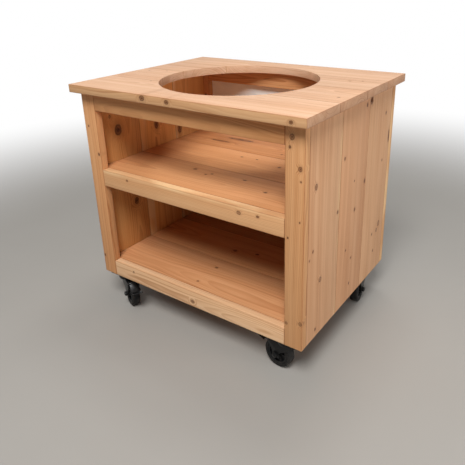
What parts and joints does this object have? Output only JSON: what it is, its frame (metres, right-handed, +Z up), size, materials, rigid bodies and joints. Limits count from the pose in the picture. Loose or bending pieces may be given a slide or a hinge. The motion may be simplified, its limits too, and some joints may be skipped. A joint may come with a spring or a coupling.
{
  "type": "kamado grill table",
  "caption": "Timber cabinet on swivel casters, open at the front and back, with two shelves under an overhanging plank top whose round cut-out holds a kamado cooker.",
  "frame": {"origin": "on the floor under the middle of the top", "axes": "+Z up, +X to the right along the open front, +Y from the front to the back"},
  "size_m": [0.9, 0.7, 0.85],
  "materials": {
    "top_wood": "planed pine, pale, clear matt oil",
    "frame_wood": "planed pine, clear matt oil",
    "side_wood": "planed knotty pine, clear matt oil",
    "shelf_wood": "planed pine, clear matt oil",
    "inner_wood": "planed pine, untreated",
    "black_steel": "black coating, semi-matt",
    "tyre_rubber": "matt",
    "hub_plastic": "moulded, matt"
  },
  "bodies": {
    "cabinet": {"top_front_plank": "top_wood", "top_front_middle_plank_left": "top_wood", "top_front_middle_plank_right": "top_wood", "top_rear_middle_plank_left": "top_wood", "top_rear_middle_plank_right": "top_wood", "top_rear_plank": "top_wood", "front_left_stile": "frame_wood", "front_right_stile": "frame_wood", "front_top_rail": "frame_wood", "front_middle_rail": "frame_wood", "front_bottom_rail": "frame_wood", "rear_left_stile": "frame_wood", "rear_right_stile": "frame_wood", "rear_top_rail": "frame_wood", "rear_middle_rail": "frame_wood", "rear_bottom_rail": "frame_wood", "left_side_board_1": "side_wood", "left_side_board_2": "side_wood", "left_side_board_3": "side_wood", "right_side_board_1": "side_wood", "right_side_board_2": "side_wood", "right_side_board_3": "side_wood", "middle_shelf_board_1": "shelf_wood", "middle_shelf_board_2": "shelf_wood", "middle_shelf_board_3": "shelf_wood", "bottom_shelf_board_1": "shelf_wood", "bottom_shelf_board_2": "shelf_wood", "bottom_shelf_board_3": "shelf_wood", "left_shelf_cleat": "inner_wood", "right_shelf_cleat": "inner_wood", "shelf_joist": "inner_wood", "left_base_runner": "inner_wood", "right_base_runner": "inner_wood", "front_left_caster_plate": "black_steel", "front_right_caster_plate": "black_steel", "rear_left_caster_plate": "black_steel", "rear_right_caster_plate": "black_steel"},
    "front_left_swivel": {"front_left_caster_fork": "black_steel", "front_left_axle_bolt": "black_steel"},
    "front_left_wheel": {"front_left_tyre": "tyre_rubber", "front_left_wheel_hub": "hub_plastic"},
    "front_left_brake": {"front_left_brake_pedal": "black_steel"},
    "front_right_swivel": {"front_right_caster_fork": "black_steel", "front_right_axle_bolt": "black_steel"},
    "front_right_wheel": {"front_right_tyre": "tyre_rubber", "front_right_wheel_hub": "hub_plastic"},
    "front_right_brake": {"front_right_brake_pedal": "black_steel"},
    "rear_left_swivel": {"rear_left_caster_fork": "black_steel", "rear_left_axle_bolt": "black_steel"},
    "rear_left_wheel": {"rear_left_tyre": "tyre_rubber", "rear_left_wheel_hub": "hub_plastic"},
    "rear_right_swivel": {"rear_right_caster_fork": "black_steel", "rear_right_axle_bolt": "black_steel"},
    "rear_right_wheel": {"rear_right_tyre": "tyre_rubber", "rear_right_wheel_hub": "hub_plastic"}
  },
  "joints": [
    {"name": "front_left_swivel_turn", "type": "hinge", "parent": "cabinet", "child": "front_left_swivel", "pos_m": [-0.36, -0.275, 0.11], "axis": [0, 0, 1], "continuous": true},
    {"name": "front_left_wheel_spin", "type": "hinge", "parent": "front_left_swivel", "child": "front_left_wheel", "pos_m": [-0.32792, -0.29134, 0.05], "axis": [0.454, 0.891, 0], "continuous": true},
    {"name": "front_left_brake_press", "type": "hinge", "parent": "front_left_swivel", "child": "front_left_brake", "pos_m": [-0.30586, -0.30259, 0.10311], "axis": [0.454, 0.891, 0], "range_deg": [0, 10]},
    {"name": "front_right_swivel_turn", "type": "hinge", "parent": "cabinet", "child": "front_right_swivel", "pos_m": [0.36, -0.275, 0.11], "axis": [0, 0, 1], "continuous": true},
    {"name": "front_right_wheel_spin", "type": "hinge", "parent": "front_right_swivel", "child": "front_right_wheel", "pos_m": [0.32427, -0.27061, 0.05], "axis": [-0.1219, -0.9925, 0], "continuous": true},
    {"name": "front_right_brake_press", "type": "hinge", "parent": "front_right_swivel", "child": "front_right_brake", "pos_m": [0.29969, -0.2676, 0.10311], "axis": [-0.1219, -0.9925, 0], "range_deg": [0, 10]},
    {"name": "rear_left_swivel_turn", "type": "hinge", "parent": "cabinet", "child": "rear_left_swivel", "pos_m": [-0.38, 0.232, 0.11], "axis": [0, 0, 1], "continuous": true},
    {"name": "rear_left_wheel_spin", "type": "hinge", "parent": "rear_left_swivel", "child": "rear_left_wheel", "pos_m": [-0.38871, 0.19707, 0.05], "axis": [0.9703, -0.2419, 0], "continuous": true},
    {"name": "rear_right_swivel_turn", "type": "hinge", "parent": "cabinet", "child": "rear_right_swivel", "pos_m": [0.38, 0.232, 0.11], "axis": [0, 0, 1], "continuous": true},
    {"name": "rear_right_wheel_spin", "type": "hinge", "parent": "rear_right_swivel", "child": "rear_right_wheel", "pos_m": [0.38501, 0.19635, 0.05], "axis": [0.9903, 0.1392, 0], "continuous": true}
  ]
}
